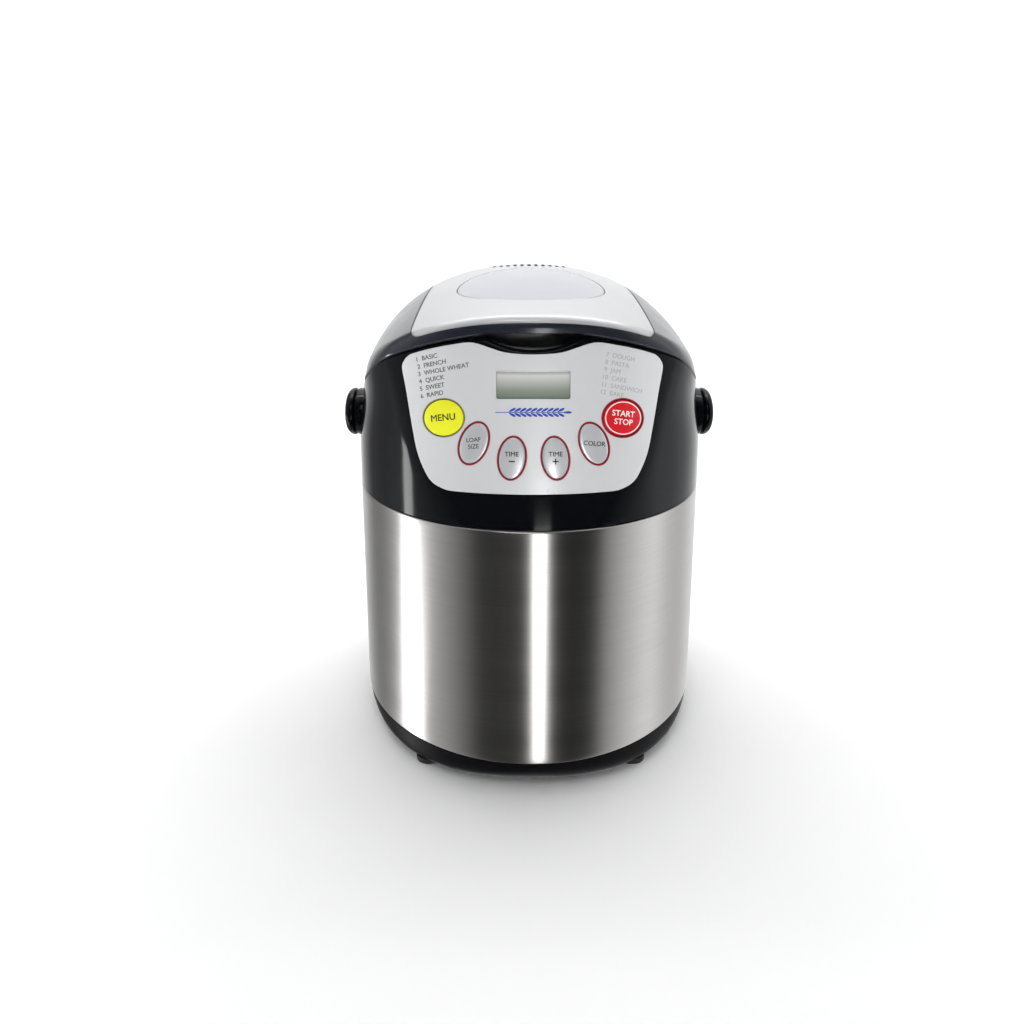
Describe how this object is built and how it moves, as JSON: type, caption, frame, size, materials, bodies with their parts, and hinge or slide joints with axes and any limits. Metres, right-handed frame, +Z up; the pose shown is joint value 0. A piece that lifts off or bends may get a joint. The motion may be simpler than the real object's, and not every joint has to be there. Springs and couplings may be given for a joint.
{
  "type": "bread machine",
  "caption": "Upright household bread machine with a domed lid and window, a tilted front control panel, a lift-out pan with a driven kneading paddle, and a steel-wrapped body.",
  "frame": {"origin": "on the table, under the middle of the body's width and depth", "axes": "+Z up, the control panel faces -Y, +X to the right as seen from the front"},
  "size_m": [0.2704, 0.342, 0.327],
  "materials": {
    "black_plastic": "satin",
    "rubber_foot": "matt",
    "steel_brushed": "brushed",
    "dark_gloss": "glossy dark grey",
    "silver_plastic": "satin silver",
    "ring_red": "glossy maroon",
    "key_yellow": "glossy",
    "key_red": "glossy",
    "key_silver": "satin silver",
    "lens": "clear over a grey-green display",
    "display": "matt",
    "board_green": "satin",
    "switch_black": "matt",
    "zinc": "bright",
    "chamber_steel": "satin",
    "jacket_steel": "dull",
    "element_steel": "dark oxide",
    "ceramic": "glazed",
    "chassis_steel": "satin",
    "cast_alloy": "cast",
    "bronze": "sintered",
    "belt": "matt",
    "pulley_plastic": "satin",
    "motor_steel": "satin",
    "pan_coat": "non-stick coating",
    "pan_alloy": "cast",
    "bail": "black",
    "window_glass": "smoked",
    "inner_glass": "clear",
    "silicone": "matt",
    "gasket": "matt"
  },
  "bodies": {
    "housing": {"base_tray": "black_plastic", "rubber_feet": "rubber_foot", "base_screws": "zinc", "steel_front": "steel_brushed", "steel_rear": "steel_brushed", "upper_housing": "dark_gloss", "side_grip_left": "dark_gloss", "side_grip_right": "dark_gloss", "fascia": "silver_plastic", "button_rings": "ring_red", "lcd_lens": "lens", "lcd_module": "display", "control_board": "board_green", "tact_switches": "switch_black", "board_screws": "zinc", "chamber_liner": "chamber_steel", "heat_jacket": "jacket_steel", "heating_element": "element_steel", "element_bushes": "ceramic", "temperature_sensor": "zinc", "thermal_fuse": "ceramic", "chassis_plate": "chassis_steel", "chassis_screws": "zinc", "chamber_posts": "cast_alloy", "bearing_housing": "cast_alloy", "bearing_bushes": "bronze", "drive_belt": "belt", "motor_body": "motor_steel", "motor_bracket": "chassis_steel", "power_board": "board_green", "cord_gland": "black_plastic", "hinge_pins": "zinc"},
    "lid": {"lid_frame": "dark_gloss", "lid_top_panel": "silver_plastic", "lid_window": "window_glass", "window_gasket": "gasket", "lid_liner": "chamber_steel", "liner_glass": "inner_glass", "lid_seal": "silicone", "hinge_lugs": "black_plastic", "lid_screws": "zinc"},
    "menu_key": {"menu_button": "key_yellow"},
    "loaf_key": {"loaf_button": "key_silver"},
    "minus_key": {"minus_button": "key_silver"},
    "plus_key": {"plus_button": "key_silver"},
    "colour_key": {"colour_button": "key_silver"},
    "start_key": {"start_button": "key_red"},
    "pan": {"bread_pan": "pan_coat", "pan_base_ring": "pan_alloy", "pan_bush": "bronze", "handle_pivots": "zinc"},
    "bail": {"pan_handle": "bail"},
    "kneader": {"pan_shaft": "zinc", "pan_coupling": "cast_alloy", "kneading_paddle": "pan_coat"},
    "drive": {"drive_shaft": "zinc", "drive_coupling": "cast_alloy", "large_pulley": "pulley_plastic"},
    "motor_rotor": {"motor_shaft": "zinc", "motor_pulley": "pulley_plastic"}
  },
  "joints": [
    {"name": "lid_hinge", "type": "hinge", "parent": "housing", "child": "lid", "pos_m": [0, 0.16, 0.2385], "axis": [-1, 0, 0], "range_deg": [0, 85]},
    {"name": "menu_press", "type": "slide", "parent": "housing", "child": "menu_key", "axis": [0, 0.9848, -0.1736], "range_m": [0, 0.0012], "stiffness_N_per_m": 600, "springref_m": -0.0008},
    {"name": "loaf_press", "type": "slide", "parent": "housing", "child": "loaf_key", "axis": [0, 0.9848, -0.1736], "range_m": [0, 0.0012], "stiffness_N_per_m": 600, "springref_m": -0.0008},
    {"name": "minus_press", "type": "slide", "parent": "housing", "child": "minus_key", "axis": [0, 0.9848, -0.1736], "range_m": [0, 0.0012], "stiffness_N_per_m": 600, "springref_m": -0.0008},
    {"name": "plus_press", "type": "slide", "parent": "housing", "child": "plus_key", "axis": [0, 0.9848, -0.1736], "range_m": [0, 0.0012], "stiffness_N_per_m": 600, "springref_m": -0.0008},
    {"name": "colour_press", "type": "slide", "parent": "housing", "child": "colour_key", "axis": [0, 0.9848, -0.1736], "range_m": [0, 0.0012], "stiffness_N_per_m": 600, "springref_m": -0.0008},
    {"name": "start_press", "type": "slide", "parent": "housing", "child": "start_key", "axis": [0, 0.9848, -0.1736], "range_m": [0, 0.0012], "stiffness_N_per_m": 600, "springref_m": -0.0008},
    {"name": "pan_lift", "type": "slide", "parent": "housing", "child": "pan", "axis": [0, 0, 1], "range_m": [0, 0.02]},
    {"name": "bail_swing", "type": "hinge", "parent": "pan", "child": "bail", "pos_m": [0, 0.024, 0.196], "axis": [-1, 0, 0], "range_deg": [0, 90]},
    {"name": "drive_spin", "type": "hinge", "parent": "housing", "child": "drive", "pos_m": [0, 0.024, 0.03], "axis": [0, 0, 1], "continuous": true},
    {"name": "kneader_spin", "type": "hinge", "parent": "pan", "child": "kneader", "pos_m": [0, 0.024, 0.08], "axis": [0, 0, 1], "continuous": true},
    {"name": "motor_spin", "type": "hinge", "parent": "housing", "child": "motor_rotor", "pos_m": [0, -0.118, 0.03], "axis": [0, 0, 1], "continuous": true}
  ],
  "couplings": [
    {"joint": "kneader_spin", "follows": "drive_spin", "ratio": 1},
    {"joint": "motor_spin", "follows": "drive_spin", "ratio": 4.0542}
  ]
}
